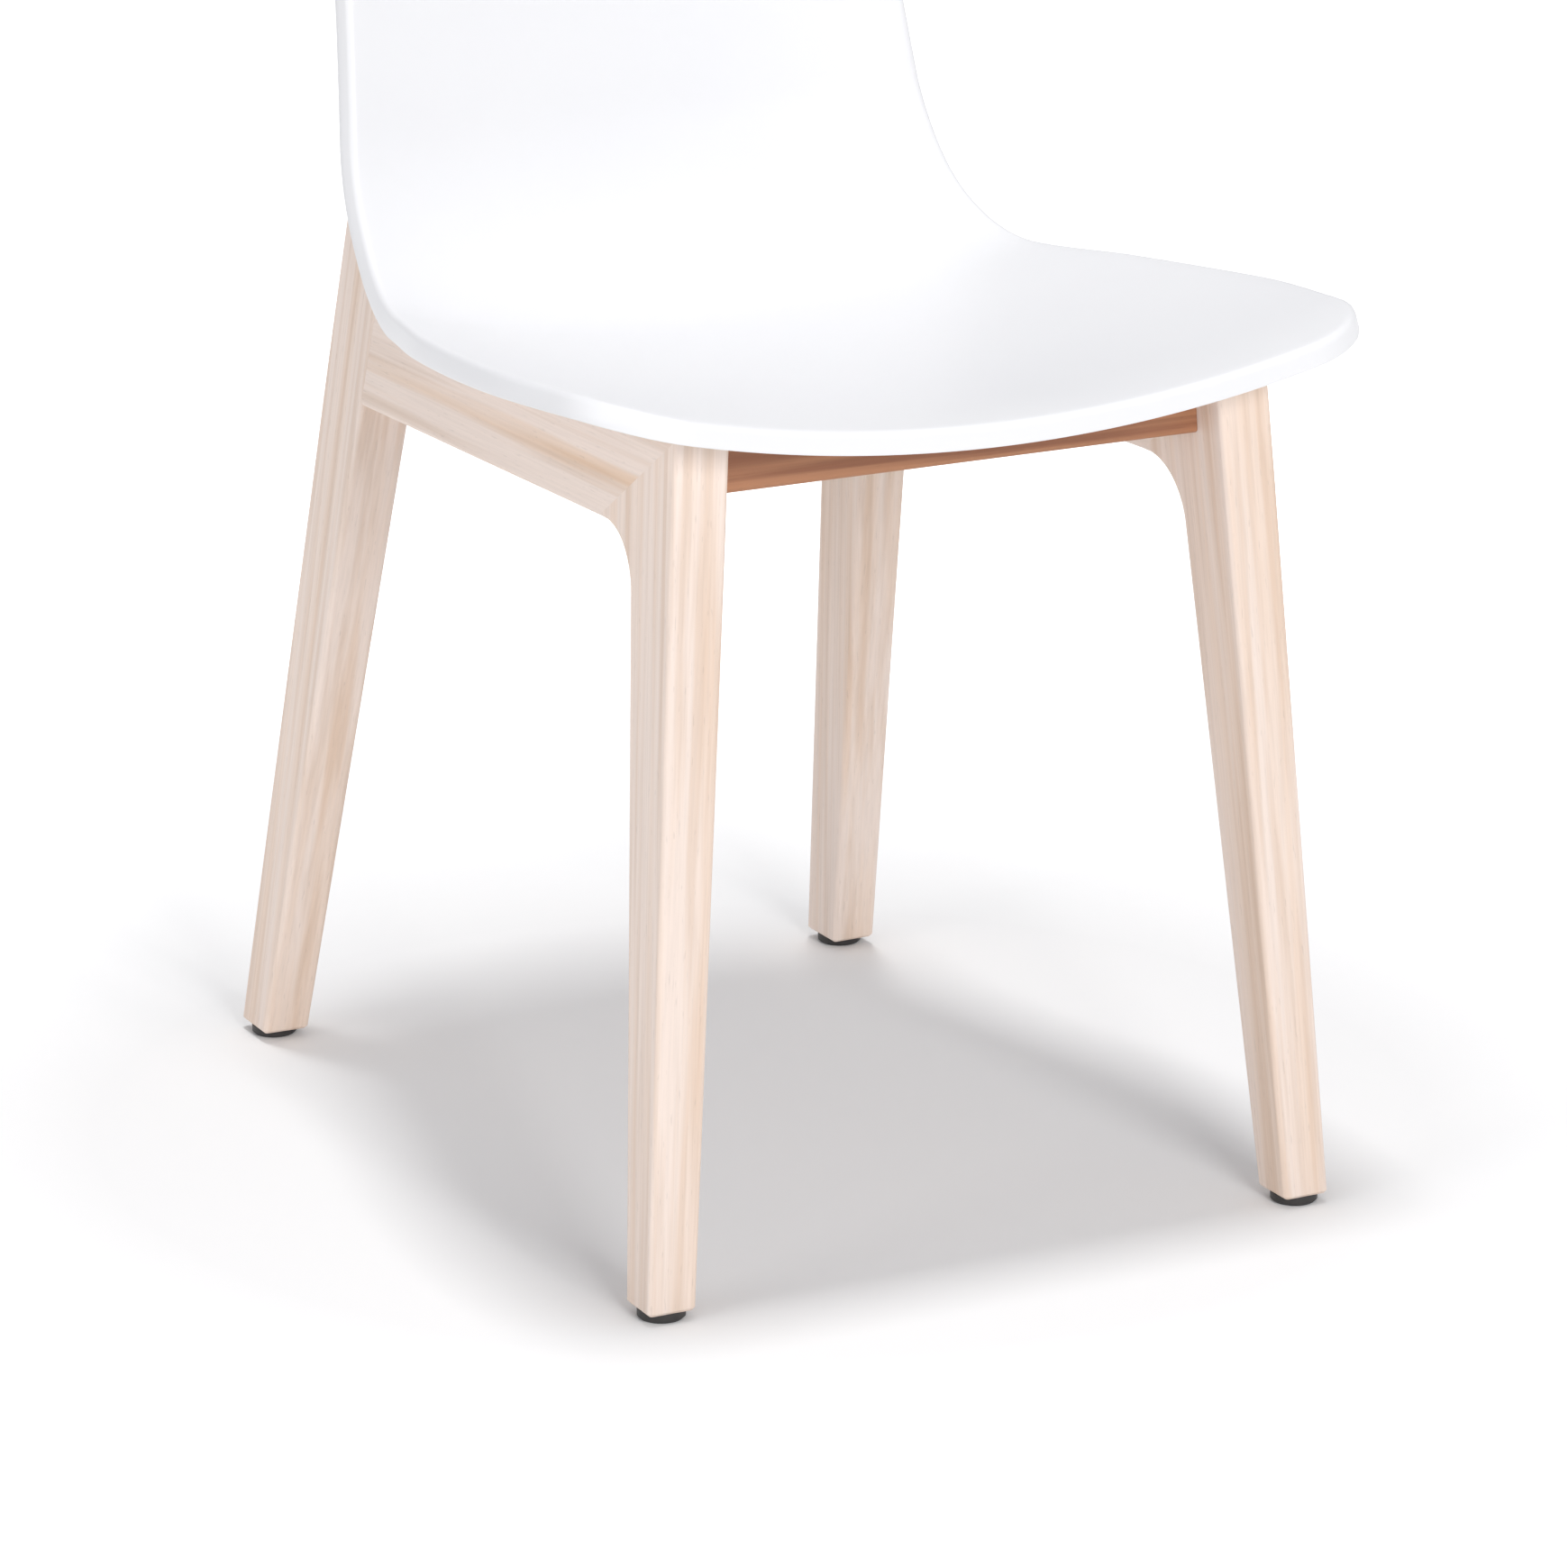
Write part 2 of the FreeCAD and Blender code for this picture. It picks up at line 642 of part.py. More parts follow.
# Half-widths of the shell at a few places along the middle line
HALF_WIDTHS = [
    (-30, 210.0), (48, 217.5), (120, 220.5), (230, 207.0), (300, 190.0), (385, 176.0),
    (445, 170.0), (545, 161.0), (680, 152.5), (840, 144.0)]
width_curve = Part.BSplineCurve()
width_curve.interpolate([Vector(place, width, 0) for place, width in HALF_WIDTHS])


def half_width(distance):
    """Half the width of the shell at a distance along its middle line."""
    low, high = width_curve.FirstParameter, width_curve.LastParameter
    for _ in range(40):
        middle = (low + high) / 2
        if width_curve.value(middle).x < distance:
            low = middle
        else:
            high = middle
    return width_curve.value((low + high) / 2).y


def section(distance, below, above, inset):
    """A curved band across the shell, from below to above its outer face."""
    point, slope = on_shell_line(distance)
    normal = Vector(0, -math.sin(slope), math.cos(slope))
    radius = size("dish_radius")
    centre = point + normal * radius
    reach = math.asin(half_width(distance) / radius) - inset / radius

    def at(turn, height):
        return centre + (Vector(math.sin(turn), 0, 0) - normal * math.cos(turn)) * (radius - height)

    edges = [
        Part.Arc(at(-reach, below), at(0, below), at(reach, below)).toShape(),
        Part.LineSegment(at(reach, below), at(reach, above)).toShape(),
        Part.Arc(at(reach, above), at(0, above), at(-reach, above)).toShape(),
        Part.LineSegment(at(-reach, above), at(-reach, below)).toShape()]
    return Part.Wire(edges)


def stations(start, end):
    """Places of the sections: close together where the line bends."""
    lengths = [length for length, _ in shell_line()]
    marks = [0.0]
    for length, steps in zip(lengths, (3, 5, 6, 5)):
        base = marks[-1]
        marks += [base + length * step / steps for step in range(1, steps + 1)]
    return [start] + [mark for mark in marks if start + 4 < mark < end - 4] + [end]


def band(below, above, inset, start, end):
    """A layer of the shell as a solid."""
    wires = [section(mark, below, above, inset) for mark in stations(start, end)]
    return Part.makeLoft(wires, True, False)


def seat_corner_cut(sign, inset):
    """What lies outside the rounded front corner of the seat."""
    radius, dish = size("seat_corner"), size("dish_radius")
    side, deep, overlap = 90, 70, 0.15
    turn = math.asin(half_width(radius) / dish) - (radius - overlap) / dish
    block = Part.makeBox(side, side, 2 * deep, Vector(0, -side, -deep))
    block = block.cut(Part.makeCylinder(radius - inset, 2 * deep + 20, Vector(0, 0, -deep - 10)))
    if sign < 0:
        block = block.mirror(Vector(), Vector(1, 0, 0))
    block.rotate(Vector(), Vector(0, 1, 0), -sign * math.degrees(turn))
    point, _ = on_shell_line(radius - overlap)
    block.translate(point + Vector(sign * math.sin(turn), 0, 1 - math.cos(turn)) * dish)
    return block


def back_top_cut(inset):
    """What lies outside the crowned top edge and the rounded corners of the back."""
    point, slope = on_shell_line(SHELL_LENGTH)
    crown, corner = size("back_crown"), size("back_corner")
    width = half_width(SHELL_LENGTH)
    taper = (half_width(SHELL_LENGTH - 100) - width) / 100
    corner_v = -corner
    for _ in range(20):
        corner_x = width - taper * corner_v - corner * math.sqrt(1 + taper ** 2)
        corner_v = -crown + math.sqrt((crown - corner) ** 2 - corner_x ** 2)
    radius = corner - inset
    tangent = math.atan2(corner_v + crown, corner_x)
    side = Vector(corner_x + radius * math.cos(taper), corner_v + radius * math.sin(taper), 0)
    middle_turn = (tangent + taper) / 2
    middle = Vector(corner_x + radius * math.cos(middle_turn), corner_v + radius * math.sin(middle_turn), 0)
    end = Vector(corner_x + radius * math.cos(tangent), corner_v + radius * math.sin(tangent), 0)
    top = Vector(0, -inset, 0)

    def other(vector):
        return Vector(-vector.x, vector.y, 0)

    far, high, deep = 240, 90, 60
    outside = [side, Vector(far, side.y, 0), Vector(far, high, 0), Vector(-far, high, 0),
               Vector(-far, side.y, 0), other(side)]
    edges = [Part.LineSegment(a, b).toShape() for a, b in zip(outside, outside[1:])]
    edges += [
        Part.Arc(other(side), other(middle), other(end)).toShape(),
        Part.Arc(other(end), top, end).toShape(),
        Part.Arc(end, middle, side).toShape()]
    face = Part.Face(Part.Wire(Part.__sortEdges__(edges)))
    block = face.extrude(Vector(0, 0, 3 * deep))
    block.translate(Vector(0, 0, -deep))
    block.rotate(Vector(), Vector(1, 0, 0), math.degrees(slope))
    block.translate(point)
    return block


def moulded_shell():
    """Wall, turned edge, bosses and ribs of the shell, in one piece.

    The hollow reaches a little below the outer face, so that it opens downwards.
    """
    lip, wall, edge = size("lip_deep"), size("wall_thick"), size("lip_thick")
    body = band(0, lip, 0, 0, SHELL_LENGTH)
    for sign in (-1, 1):
        body = body.cut(seat_corner_cut(sign, 0))
    body = body.cut(back_top_cut(0))
    body = rounded_rim(body)
    below = -8
    hollow = band(below, lip - wall, edge, edge, SHELL_LENGTH - edge)
    for sign in (-1, 1):
        hollow = hollow.cut(seat_corner_cut(sign, edge))
    hollow = hollow.cut(back_top_cut(edge))
    body = body.cut(hollow)
    return with_bosses_and_ribs(body).removeSplitter()


def with_bosses_and_ribs(body):
    """Four bosses for the screws under the seat, and the ribs between them."""
    margin, middle = 20, size("lip_deep") - size("wall_thick") / 2
    under_bosses = band(-2 * margin, middle, margin, margin, SHELL_LENGTH - margin)
    under_ribs = band(size("rib_rise"), middle, margin, margin, SHELL_LENGTH - margin)
    x, thick = size("boss_x"), size("rib_thick")
    front, rear = size("boss_front_y"), size("boss_rear_y")
    low, high = size("rail_bottom"), 120
    for y in (front, rear):
        rib = Part.makeBox(2 * x, thick, high, Vector(-x, y - thick / 2, low))
        body = body.fuse(rib.common(under_ribs))
    for sign in (-1, 1):
        rib = Part.makeBox(thick, rear - front, high, Vector(sign * x - thick / 2, front, low))
        body = body.fuse(rib.common(under_ribs))
        for y, end in ((front, "front"), (rear, "rear")):
            base = Vector(sign * x, y, size(f"block_{end}_top"))
            boss = Part.makeCylinder(size("boss_round"), high / 2, base)
            body = body.fuse(boss.common(under_bosses))
            body = body.cut(Part.makeCylinder(size("insert_radius"), size("insert_bore"), base))
    return body


def rounded_rim(body):
    """Round the edge of the shell on the sitter's side."""
    sitter = Vector(0, size("shell_front_y") / 2, 2 * size("shell_front_z"))
    broad = sorted(body.Faces, key=lambda face: face.Area)[-2:]
    inner = min(broad, key=lambda face: face.CenterOfMass.distanceToPoint(sitter))
    return body.makeFillet(size("lip_round"), inner.Edges)


shell = doc.addObject("Part::Feature", "seat_shell")
shell.Label = "seat_shell"
shell.Shape = moulded_shell()
shell.Placement = Placement()
sub_parts.append(shell)


# Small parts

def dowel(placement, length):
    """A dowel with bevelled ends."""
    pin = primitive("Cylinder", placement, Radius="dowel_radius", Height=length)
    doc.recompute()
    ends = [number for number, edge in enumerate(pin.Shape.Edges, start=1) if edge.Closed]
    bevelled = doc.addObject("Part::Chamfer", "Dowel")
    bevelled.Base = pin
    bevelled.Edges = [(number, size("dowel_bevel"), size("dowel_bevel")) for number in ends]
    return bevelled


def frame_dowels(label, sign):
    """The four dowels of a side frame: two in the mitre, two in the rear joint."""
    frame = frame_placement(sign)
    starts = [start for end in ENDS for start in frame_dowel_starts(end)]
    return group(label, [
        dowel(frame.multiply(Placement(start, ALONG_Y)), "frame_dowel_long") for start in starts])


def apron_dowels(label, end):
    """The four dowels of an apron, two at each end."""
    return group(label, [
        dowel(Placement(start, pointing(Vector(-sign, 0, 0))), "apron_dowel_long")
        for _, sign in SIDES for start in apron_dowel_starts(sign, end)])


def corner_block_screws():
    """Two wood screws in each corner block, their heads sunk into it."""
    screws = []
    for end in ENDS:
        for _, sign in SIDES:
            for start, direction in block_screws_of(sign, end):
                turn = pointing(direction)
                shank = primitive("Cylinder", Placement(start, turn),
                                  Radius="block_screw_radius", Height="block_screw_long")
                head = primitive("Cone", Placement(start, turn.multiply(pointing(Vector(0, 0, -1)))),
                                 Radius1="block_screw_head", Radius2="block_screw_head*0.7",
                                 Height="block_screw_head*0.7")
                screws.append(fused(shank, head))
    return group("corner_block_screws", screws)


def boss_places(end):
    """The two shell screws of one end of the seat: X and Y."""
    return [(sign * size("boss_x"), size(f"boss_{end}_y")) for _, sign in SIDES]


def tube(base, outer, inner, height):
    """A short upright tube."""
    return cut(
        primitive("Cylinder", Placement(base, ALONG_Z), Radius=outer, Height=height),
        primitive("Cylinder", Placement(base, ALONG_Z), Radius=inner, Height=height))


def shell_fixings():
    """Threaded inserts in the bosses, and the screws and washers below the blocks."""
    inserts, screws, washers = [], [], []
    for end in ENDS:
        top, low = size(f"block_{end}_top"), size(f"block_{end}_low")
        for x, y in boss_places(end):
            inserts.append(tube(Vector(x, y, top), "insert_radius", "screw_radius", "insert_long"))
            under = low - size("washer_thick")
            washers.append(tube(Vector(x, y, under), "washer_radius", "screw_radius + 0.3", "washer_thick"))
            shank = primitive("Cylinder", Placement(Vector(x, y, under), ALONG_Z), Radius="screw_radius",
                              Height=f"washer_thick + block_{end}_top - block_{end}_low + insert_long")
            head_base = Vector(x, y, under - size("screw_head_high"))
            head = primitive("Cylinder", Placement(head_base, ALONG_Z),
                             Radius="screw_head", Height="screw_head_high")
            socket = primitive("Prism", Placement(head_base, ALONG_Z),
                               Circumradius="screw_head*0.4", Height="screw_head_high*0.6")
            screws.append(fused(cut(head, socket), shank))
    group("shell_inserts", inserts)
    group("shell_screws", screws)
    group("shell_screw_washers", washers)


def glide(label, sign, end):
    """A turned plastic disc under a foot, with a recess for the head of its nail."""
    body = new_body(label, Placement(glide_place(sign, end), ALONG_Z))
    sketch = outline_sketch(body, "HalfSection", "XZ_Plane", [
        ("nail_radius", "glide_high"),
        ("glide_radius", "glide_high"),
        ("glide_radius", "glide_bevel"),
        ("glide_radius - glide_bevel", "0"),
        ("nail_head + 0.3", "0"),
        ("nail_head + 0.3", "nail_recess"),
        ("nail_radius", "nail_recess")])
    turned = body.newObject("PartDesign::Revolution", "Disc")
    turned.Profile = sketch
    turned.ReferenceAxis = (sketch, ["V_Axis"])
    turned.Angle = 360
    return body


def glide_nails():
    """The nail of each glide, its head in the recess."""
    nails = []
    for end in ENDS:
        for _, sign in SIDES:
            seat = glide_place(sign, end) + Vector(0, 0, size("nail_recess"))
            shank = primitive("Cylinder", Placement(seat, ALONG_Z), Radius="nail_radius", Height="nail_long")
            head = primitive("Cylinder", Placement(seat, pointing(Vector(0, 0, -1))),
                             Radius="nail_head", Height="nail_head_thick")
            nails.append(fused(shank, head))
    return group("glide_nails", nails)


for side_name, side_sign in SIDES:
    frame_dowels(f"frame_dowels_{side_name}", side_sign)
for end_name in ENDS:
    apron_dowels(f"{end_name}_apron_dowels", end_name)
    for side_name, side_sign in SIDES:
        glide(f"glide_{end_name}_{side_name}", side_sign, end_name)
corner_block_screws()
shell_fixings()
glide_nails()
doc.recompute()

# Checks and files
for thing in doc.Objects:
    if "Invalid" in thing.State or "Error" in thing.State:
        raise RuntimeError(f"{thing.Label} failed: {thing.State}")
for thing in sub_parts:
    if thing.Shape.isNull() or not thing.Shape.isValid() or not thing.Shape.Solids:
        raise RuntimeError(f"{thing.Label} has no valid shape")
    thing.Shape.exportStep(f"parts/{thing.Label}.step")
    print(thing.Label, len(thing.Shape.Solids), round(thing.Shape.Volume / 1000, 1))
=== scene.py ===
"""The looks of a dining chair: a white moulded shell on a pale wooden frame.

Metres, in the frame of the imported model: +Z up, the chair faces -Y, floor at z = 0.
"""
import math

import bmesh
import bpy
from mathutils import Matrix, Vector


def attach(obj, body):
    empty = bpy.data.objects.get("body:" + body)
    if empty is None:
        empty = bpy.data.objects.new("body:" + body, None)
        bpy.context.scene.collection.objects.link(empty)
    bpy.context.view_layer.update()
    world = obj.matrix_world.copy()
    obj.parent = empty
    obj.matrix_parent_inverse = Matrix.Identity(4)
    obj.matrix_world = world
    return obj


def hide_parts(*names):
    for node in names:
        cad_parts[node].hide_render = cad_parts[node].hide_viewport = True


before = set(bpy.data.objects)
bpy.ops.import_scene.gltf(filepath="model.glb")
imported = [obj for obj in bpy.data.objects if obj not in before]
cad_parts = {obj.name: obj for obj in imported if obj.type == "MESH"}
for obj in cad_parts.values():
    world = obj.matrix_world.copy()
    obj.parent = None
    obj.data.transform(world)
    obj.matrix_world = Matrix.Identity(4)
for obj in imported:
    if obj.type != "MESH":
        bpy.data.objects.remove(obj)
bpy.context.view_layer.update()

MM = 0.001
BODY = "root"

# Camera: the photograph's point of view
CAMERA_AT = Vector((-1.65337, -3.20124, 1.26938))
CAMERA_LOOKS_AT = Vector((-0.05782, -0.13394, 0.225))
SENSOR = 36.0
LENS = 166.95

# Shell, in millimetres. Its outer face is a chain of arcs in the middle plane, each with its
# length and radius: front roll, seat, bend and back.
SHELL_FRONT = (-258.0, 419.0)
SEAT_TURN = math.radians(5.2)
BEND_TURN = math.radians(78.0)
SHELL_ARCS = [
    (518.0 * SEAT_TURN, -518.0),
    (2770.0 * SEAT_TURN, 2770.0),
    (131.0 * BEND_TURN, 131.0),
    (322.0, -3600.0)]
SHELL_LENGTH = sum(length for length, _ in SHELL_ARCS)
DISH_RADIUS = 764.0
LIP_DEEP = 12.0
WALL = 5.5
UNDER = LIP_DEEP - WALL
MID_WALL = LIP_DEEP - WALL / 2
LIP_ROUND = 3.6
SEAT_CORNER = 46.0
BACK_CORNER = 55.0
BACK_CROWN = 700.0

# Half the width of the shell at distances along its middle line
HALF_WIDTHS = [
    (-30, 210.0), (48, 217.5), (120, 220.3), (230, 207.0), (300, 190.0), (385, 176.0),
    (445, 170.0), (545, 161.0), (680, 152.5), (840, 144.0)]
TOP_TAPER_OVER = 100

# Turned edge below its round, as insets and heights: outside, foot of the edge, inside, hollow
EDGE_BELOW = [
    (0.0, 4.0), (0.0, 0.7), (0.25, 0.2), (0.9, 0.0),
    (WALL - 0.9, 0.0), (WALL - 0.2, 0.3), (WALL, 1.0),
    (WALL, UNDER - 2.0), (WALL + 0.6, UNDER - 0.6), (WALL + 2.0, UNDER)]

# Bosses and ribs under the seat
BOSS_X = 116.0
BOSSES_Y = (-164.0, 82.0)
BOSS_FEET = (414.5, 408.0)
BOSS_RADIUS = 11.0
BOSS_BEVEL = 0.5
INSERT_RADIUS = 4.3
BORE_DEEP = 11.0
RIB_THICK = 3.0
RIB_FOOT = 1.5

# Mesh of the shell
ACROSS = 56
ALONG = 104
ROUND_STEPS = 5
AROUND_BOSS = 36
ALONG_RIB = 24
HALVINGS = 30
MERGE_WITHIN = 0.02


def on_shell_line(distance):
    """The point (y, z) at a distance along the middle line of the shell, and the slope there."""
    y, z = SHELL_FRONT
    slope = 0.0
    for number, (length, radius) in enumerate(SHELL_ARCS):
        last = number == len(SHELL_ARCS) - 1
        run = distance if last else min(distance, length)
        turned = slope + run / radius
        y += radius * (math.sin(turned) - math.sin(slope))
        z -= radius * (math.cos(turned) - math.cos(slope))
        slope = turned
        distance -= run
        if distance <= 0 and not last:
            break
    return y, z, slope


def half_width(distance):
    """Half the width of the shell: a smooth curve through the places of HALF_WIDTHS."""
    places = HALF_WIDTHS
    at = max(1, min(len(places) - 3, sum(place <= distance for place, _ in places) - 1))
    (x0, y0), (x1, y1), (x2, y2), (x3, y3) = places[at - 1:at + 3]
    t = (distance - x1) / (x2 - x1)
    rise1 = (y2 - y0) / (x2 - x0) * (x2 - x1)
    rise2 = (y3 - y1) / (x3 - x1) * (x2 - x1)
    return ((2 * t ** 3 - 3 * t ** 2 + 1) * y1 + (t ** 3 - 2 * t ** 2 + t) * rise1
            + (3 * t ** 2 - 2 * t ** 3) * y2 + (t ** 3 - t ** 2) * rise2)


def shell_point(distance, across, height):
    """A point of the shell: along the middle line, across it, and above the outer face."""
    y, z, slope = on_shell_line(distance)
    turn = math.asin(across / DISH_RADIUS)
    lift = DISH_RADIUS - (DISH_RADIUS - height) * math.cos(turn)
    return Vector((
        (DISH_RADIUS - height) * math.sin(turn),
        y - math.sin(slope) * lift,
        z + math.cos(slope) * lift)) * MM


def side_outline(share, inset):
    """The right edge of the shell, from the middle of its front corner to that of its top corner."""
    front = SEAT_CORNER - inset
    top = BACK_CORNER - inset
    front_run = front * math.pi / 4
    top_run = top * math.pi / 4
    straight = SHELL_LENGTH - SEAT_CORNER - BACK_CORNER
    run = share * (front_run + straight + top_run)
    if run < front_run:
        return front_corner(math.pi / 4 + run / front, inset)
    if run < front_run + straight:
        place = SEAT_CORNER + run - front_run
        return place, half_width(place) - inset
    return top_corner((run - front_run - straight) / top, inset)


def front_corner(turn, inset):
    """A point of the rounded front corner, by its turn from the front edge."""
    radius = SEAT_CORNER - inset
    place = SEAT_CORNER - radius * math.cos(turn)
    return place, half_width(place) - SEAT_CORNER + radius * math.sin(turn)


def top_corner(turn, inset):
    """A point of the rounded top corner, by its turn from the side edge."""
    radius = BACK_CORNER - inset
    top_half = half_width(SHELL_LENGTH)
    taper = (half_width(SHELL_LENGTH - TOP_TAPER_OVER) - top_half) / TOP_TAPER_OVER
    middle_x = top_half + taper * BACK_CORNER - BACK_CORNER
    crown_within = BACK_CROWN - BACK_CORNER
    drop = math.sqrt(crown_within ** 2 - middle_x ** 2) - BACK_CROWN
    turn *= 1 - math.asin(middle_x / crown_within) / (math.pi / 2)
    return SHELL_LENGTH + drop + radius * math.sin(turn), middle_x + radius * math.cos(turn)


def end_outline(share, inset, at_top):
    """The front or top edge of the shell, from the left corner's middle to the right one's."""
    side = 1 if share > 0.5 else -1
    part = abs(share - 0.5) * 2
    corner = (BACK_CORNER if at_top else SEAT_CORNER) - inset
    corner_run = corner * math.pi / 4
    if at_top:
        end_x = top_corner(math.pi / 2, inset)[1]
    else:
        end_x = half_width(SEAT_CORNER) - SEAT_CORNER
    run = part * (end_x + corner_run)
    if run > end_x:
        turn = (run - end_x) / corner
        place, x = top_corner(math.pi / 2 - turn, inset) if at_top else front_corner(turn, inset)
        return place, side * x
    if at_top:
        crown = BACK_CROWN - inset
        return SHELL_LENGTH - BACK_CROWN + math.sqrt(crown ** 2 - run ** 2), side * run
    return inset, side * run


def in_outline(u, v, inset):
    """A point inside the shell's outline, from its two shares of the way across and along."""
    front = end_outline(u, inset, False)
    top = end_outline(u, inset, True)
    place, x = side_outline(v, inset)
    left, right = (place, -x), (place, x)
    corners = [
        (end_outline(0, inset, False), (1 - u) * (1 - v)),
        (end_outline(1, inset, False), u * (1 - v)),
        (end_outline(0, inset, True), (1 - u) * v),
        (end_outline(1, inset, True), u * v)]
    return [
        (1 - v) * front[k] + v * top[k] + (1 - u) * left[k] + u * right[k]
        - sum(corner[k] * weight for corner, weight in corners)
        for k in (0, 1)]


def lay_on_shell(bm, verts, inset, height):
    """Put vertices on the shell by the shares they carry."""
    u_share = bm.verts.layers.float["u_share"]
    v_share = bm.verts.layers.float["v_share"]
    for vert in verts:
        place, across = in_outline(vert[u_share], vert[v_share], inset)
        vert.co = shell_point(place, across, height)


def shell_sheet(bm, inset, height):
    """One skin of the shell, and its outer edges."""
    before = set(bm.verts)
    bmesh.ops.create_grid(bm, x_segments=ACROSS, y_segments=ALONG, size=0.5)
    verts = [vert for vert in bm.verts if vert not in before]
    u_share = bm.verts.layers.float["u_share"]
    v_share = bm.verts.layers.float["v_share"]
    for vert in verts:
        vert[u_share] = vert.co.x + 0.5
        vert[v_share] = vert.co.y + 0.5
    lay_on_shell(bm, verts, inset, height)
    return {edge for vert in verts for edge in vert.link_edges if edge.is_boundary}


def rim_profile():
    """Insets and heights down the turned edge, from the sitter's side to the underside."""
    steps = []
    for number in range(1, ROUND_STEPS + 1):
        turn = math.pi / 2 * number / ROUND_STEPS
        inset = LIP_ROUND * (1 - math.sin(turn))
        steps.append((inset, LIP_DEEP - LIP_ROUND * (1 - math.cos(turn))))
    return steps + EDGE_BELOW


def over_floor(x, y, height):
    """The point of the seat over a place of the floor, at a height above the outer face."""
    near, far = 0.0, SHELL_LENGTH / 2
    for _ in range(HALVINGS):
        middle = (near + far) / 2
        if shell_point(middle, x, height).y < y * MM:
            near = middle
        else:
            far = middle
    return shell_point(near, x, height)


def add_boss(bm, x, y, foot):
    """A round boss under the seat, with the bore of its insert."""
    top = over_floor(x, y, MID_WALL).z / MM
    profile = [
        (0.0, foot + BORE_DEEP), (INSERT_RADIUS, foot + BORE_DEEP), (INSERT_RADIUS, foot),
        (BOSS_RADIUS - BOSS_BEVEL, foot), (BOSS_RADIUS, foot + BOSS_BEVEL),
        (BOSS_RADIUS, top), (0.0, top)]
    verts = [bm.verts.new((x * MM + radius * MM, y * MM, height * MM)) for radius, height in profile]
    edges = [bm.edges.new(pair) for pair in zip(verts, verts[1:])]
    before = set(bm.verts) - set(verts)
    bmesh.ops.spin(bm, geom=verts + edges, cent=(x * MM, y * MM, 0), axis=(0, 0, 1), angle=math.tau,
                   steps=AROUND_BOSS, use_merge=True)
    for vert in set(bm.verts) - before:
        if vert.co.z > (top - 0.01) * MM:
            vert.co.z = over_floor(vert.co.x / MM, vert.co.y / MM, MID_WALL).z


def add_rib(bm, start, end):
    """A thin upright rib under the seat, from one boss to another."""
    before = set(bm.verts)
    bmesh.ops.create_grid(bm, x_segments=ALONG_RIB, y_segments=1, size=0.5)
    verts = [vert for vert in bm.verts if vert not in before]
    along_x = start[1] == end[1]
    side = Vector((0, RIB_THICK * MM, 0)) if along_x else Vector((RIB_THICK * MM, 0, 0))
    for vert in verts:
        share, upper = vert.co.x + 0.5, vert.co.y > 0
        place = [a + (b - a) * share for a, b in zip(start, end)]
        vert.co = over_floor(*place, MID_WALL if upper else RIB_FOOT) - side / 2
    faces = list({face for vert in verts for face in vert.link_faces})
    grown = bmesh.ops.extrude_face_region(bm, geom=faces, use_keep_orig=True)["geom"]
    moved = [item for item in grown if isinstance(item, bmesh.types.BMVert)]
    bmesh.ops.translate(bm, verts=moved, vec=side)


def moulded_shell():
    """Seat and back in one skin, with the turned edge, the bosses and the ribs."""
    bm = bmesh.new()
    bm.verts.layers.float.new("u_share")
    bm.verts.layers.float.new("v_share")
    edges = shell_sheet(bm, LIP_ROUND, LIP_DEEP)
    for inset, height in rim_profile():
        grown = bmesh.ops.extrude_edge_only(bm, edges=list(edges))["geom"]
        verts = [item for item in grown if isinstance(item, bmesh.types.BMVert)]
        lay_on_shell(bm, verts, inset, height)
        edges = {item for item in grown if isinstance(item, bmesh.types.BMEdge) and item.is_boundary}
    last_inset, last_height = EDGE_BELOW[-1]
    shell_sheet(bm, last_inset, last_height)
    for y, foot in zip(BOSSES_Y, BOSS_FEET):
        for x in (-BOSS_X, BOSS_X):
            add_boss(bm, x, y, foot)
        add_rib(bm, (-BOSS_X, y), (BOSS_X, y))
    for x in (-BOSS_X, BOSS_X):
        add_rib(bm, (x, BOSSES_Y[0]), (x, BOSSES_Y[1]))
    bmesh.ops.remove_doubles(bm, verts=bm.verts, dist=MERGE_WITHIN * MM)
    bmesh.ops.recalc_face_normals(bm, faces=bm.faces)
    return finished("moulded_shell", bm, ["seat_shell"])


def finished(name, bm, replaced):
    """Make a smooth-shaded object of a mesh, and tie it to the chair."""
    mesh = bpy.data.meshes.new(name)
    bm.to_mesh(mesh)
    bm.free()
    mesh.shade_smooth()
    piece = bpy.data.objects.new(name, mesh)
    bpy.context.scene.collection.objects.link(piece)
    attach(piece, BODY)
    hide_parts(*replaced)
    return piece


# Materials

PALE_WOOD = (0.89, 0.755, 0.67)
DARK_GRAIN = (0.8, 0.645, 0.54)
# Aprons: a warm orange-brown wood whose dark tone is partly painted shade from under the shell
WARM_WOOD_AND_SHADE = (0.46, 0.21, 0.105)
WARM_GRAIN_AND_SHADE = (0.3, 0.12, 0.06)
WARM_STREAK = (0.9, 0.74, 0.56)
# Share of warm streaks: wood figure on all pieces; on the rails the larger share is partly painted
# warm shade under the shell
RAIL_WARMTH_AND_SHADE = 0.75
OTHER_WARMTH = 0.3

# Figures of the wood: noise scale across the grain, how much longer it is along it, detail
STREAKS = (150.0, 50.0, 3.0)
FIBRES = (700.0, 40.0, 2.0)
WARM_STREAKS = (75.0, 45.0, 2.0)
FLECKS = (900.0, 8.0, 1.0)

# Step of the figure from one piece of wood to the next
SEED_STEP = Vector((0.37, 0.21, 0.53))

# Direction of the grain by a word of the piece's name, for the pieces on the right
GRAIN = {
    "front_leg": (-0.072, 0.088, 1.0), "rear_leg": (-0.072, -0.175, 1.0), "rail": (-0.013, 1.0, -0.02),
    "apron": (1.0, 0.0, 0.0), "block": (0.7, 0.7, 0.0), "frame_dowels": (-0.013, 1.0, 0.0)}

